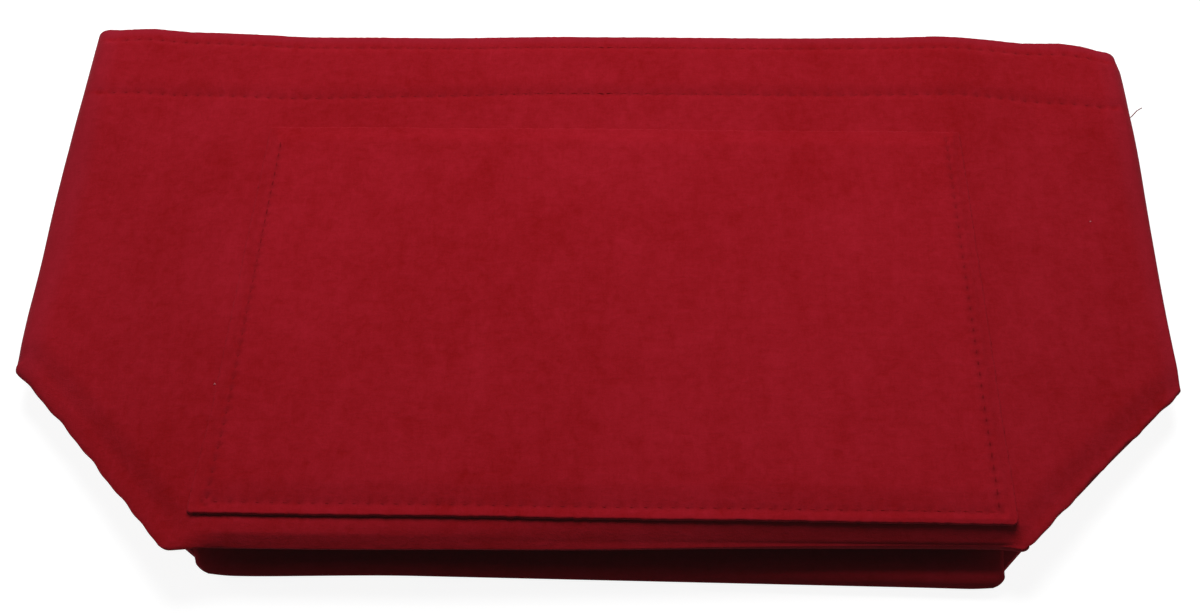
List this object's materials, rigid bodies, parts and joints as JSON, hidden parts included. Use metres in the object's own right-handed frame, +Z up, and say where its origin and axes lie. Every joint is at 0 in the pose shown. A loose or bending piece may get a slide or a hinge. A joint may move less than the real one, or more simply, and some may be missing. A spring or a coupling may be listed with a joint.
{
  "type": "purse organizer insert",
  "caption": "Soft felt bag organizer with an open top, box base, fold-out side gussets and slip pockets, folded flat on its back wall.",
  "frame": {"origin": "centre of the outer box on the surface that the back wall lies on, folded flat", "axes": "+X along the base to the right seen from the base, +Y from the base edge to the rim, +Z up from the back wall to the front wall"},
  "size_m": [0.3316, 0.1824, 0.0216],
  "materials": {
    "shell_felt": "matte pressed felt, 3 mm, deep red",
    "facing_felt": "matte pressed felt, 3 mm, deep red, strip inside the rim",
    "pocket_felt": "matte pressed felt, 2 mm, deep red"
  },
  "bodies": {
    "back": {"back_wall": "shell_felt", "back_rim_facing": "facing_felt", "rear_inner_pocket": "pocket_felt"},
    "front": {"front_wall": "shell_felt", "front_rim_facing": "facing_felt", "front_inner_pocket": "pocket_felt", "front_outer_pocket": "pocket_felt"},
    "base_rear": {"base_rear_half": "shell_felt"},
    "base_front": {"base_front_half": "shell_felt"},
    "right_rear_side": {"right_rear_gusset": "shell_felt", "right_rear_gusset_rim_facing": "facing_felt"},
    "right_rear_tuck": {"right_rear_corner_tuck": "shell_felt"},
    "left_rear_side": {"left_rear_gusset": "shell_felt", "left_rear_gusset_rim_facing": "facing_felt"},
    "left_rear_tuck": {"left_rear_corner_tuck": "shell_felt"},
    "right_front_side": {"right_front_gusset": "shell_felt", "right_front_gusset_rim_facing": "facing_felt"},
    "right_front_tuck": {"right_front_corner_tuck": "shell_felt"},
    "left_front_side": {"left_front_gusset": "shell_felt", "left_front_gusset_rim_facing": "facing_felt"},
    "left_front_tuck": {"left_front_corner_tuck": "shell_felt"}
  },
  "joints": [
    {"name": "open", "type": "hinge", "parent": "back", "child": "left_rear_side", "pos_m": [-0.112, -0.08884, 0.00315], "axis": [0, 1, 0], "range_deg": [0, 81]},
    {"name": "left_side_fold", "type": "hinge", "parent": "left_rear_side", "child": "left_front_side", "pos_m": [-0.16561, -0.08884, 0.00965], "axis": [0, -1, 0], "range_deg": [0, 162]},
    {"name": "front_left_corner", "type": "hinge", "parent": "left_front_side", "child": "front", "pos_m": [-0.112, -0.08884, 0.01615], "axis": [0, 1, 0], "range_deg": [0, 81]},
    {"name": "front_right_corner", "type": "hinge", "parent": "front", "child": "right_front_side", "pos_m": [0.112, -0.08884, 0.01615], "axis": [0, 1, 0], "range_deg": [0, 81]},
    {"name": "rear_right_corner", "type": "hinge", "parent": "back", "child": "right_rear_side", "pos_m": [0.112, -0.08884, 0.00315], "axis": [0, -1, 0], "range_deg": [0, 81]},
    {"name": "base_rear_edge", "type": "hinge", "parent": "back", "child": "base_rear", "pos_m": [0, -0.08884, 0.00315], "axis": [1, 0, 0], "range_deg": [0, 81]},
    {"name": "base_front_edge", "type": "hinge", "parent": "front", "child": "base_front", "pos_m": [0, -0.08884, 0.01615], "axis": [-1, 0, 0], "range_deg": [0, 81]},
    {"name": "right_rear_tuck_fold", "type": "hinge", "parent": "right_rear_side", "child": "right_rear_tuck", "pos_m": [0.112, -0.08884, 0.00315], "axis": [0.702, 0.7071, 0.0851], "range_deg": [0, 168.48], "deforming": ["right_rear_corner_tuck"]},
    {"name": "left_rear_tuck_fold", "type": "hinge", "parent": "left_rear_side", "child": "left_rear_tuck", "pos_m": [-0.112, -0.08884, 0.00315], "axis": [0.702, -0.7071, -0.0851], "range_deg": [0, 168.48], "deforming": ["left_rear_corner_tuck"]},
    {"name": "right_front_tuck_fold", "type": "hinge", "parent": "right_front_side", "child": "right_front_tuck", "pos_m": [0.112, -0.08884, 0.01615], "axis": [-0.702, -0.7071, 0.0851], "range_deg": [0, 168.48], "deforming": ["right_front_corner_tuck"]},
    {"name": "left_front_tuck_fold", "type": "hinge", "parent": "left_front_side", "child": "left_front_tuck", "pos_m": [-0.112, -0.08884, 0.01615], "axis": [-0.702, 0.7071, -0.0851], "range_deg": [0, 168.48], "deforming": ["left_front_corner_tuck"]}
  ],
  "couplings": [
    {"joint": "left_side_fold", "follows": "open", "ratio": 2},
    {"joint": "front_left_corner", "follows": "open", "ratio": 1},
    {"joint": "front_right_corner", "follows": "open", "ratio": 1},
    {"joint": "rear_right_corner", "follows": "open", "ratio": 1},
    {"joint": "base_rear_edge", "follows": "open", "ratio": 1},
    {"joint": "base_front_edge", "follows": "open", "ratio": 1},
    {"joint": "right_rear_tuck_fold", "follows": "open", "ratio": 2.08},
    {"joint": "left_rear_tuck_fold", "follows": "open", "ratio": 2.08},
    {"joint": "right_front_tuck_fold", "follows": "open", "ratio": 2.08},
    {"joint": "left_front_tuck_fold", "follows": "open", "ratio": 2.08}
  ]
}
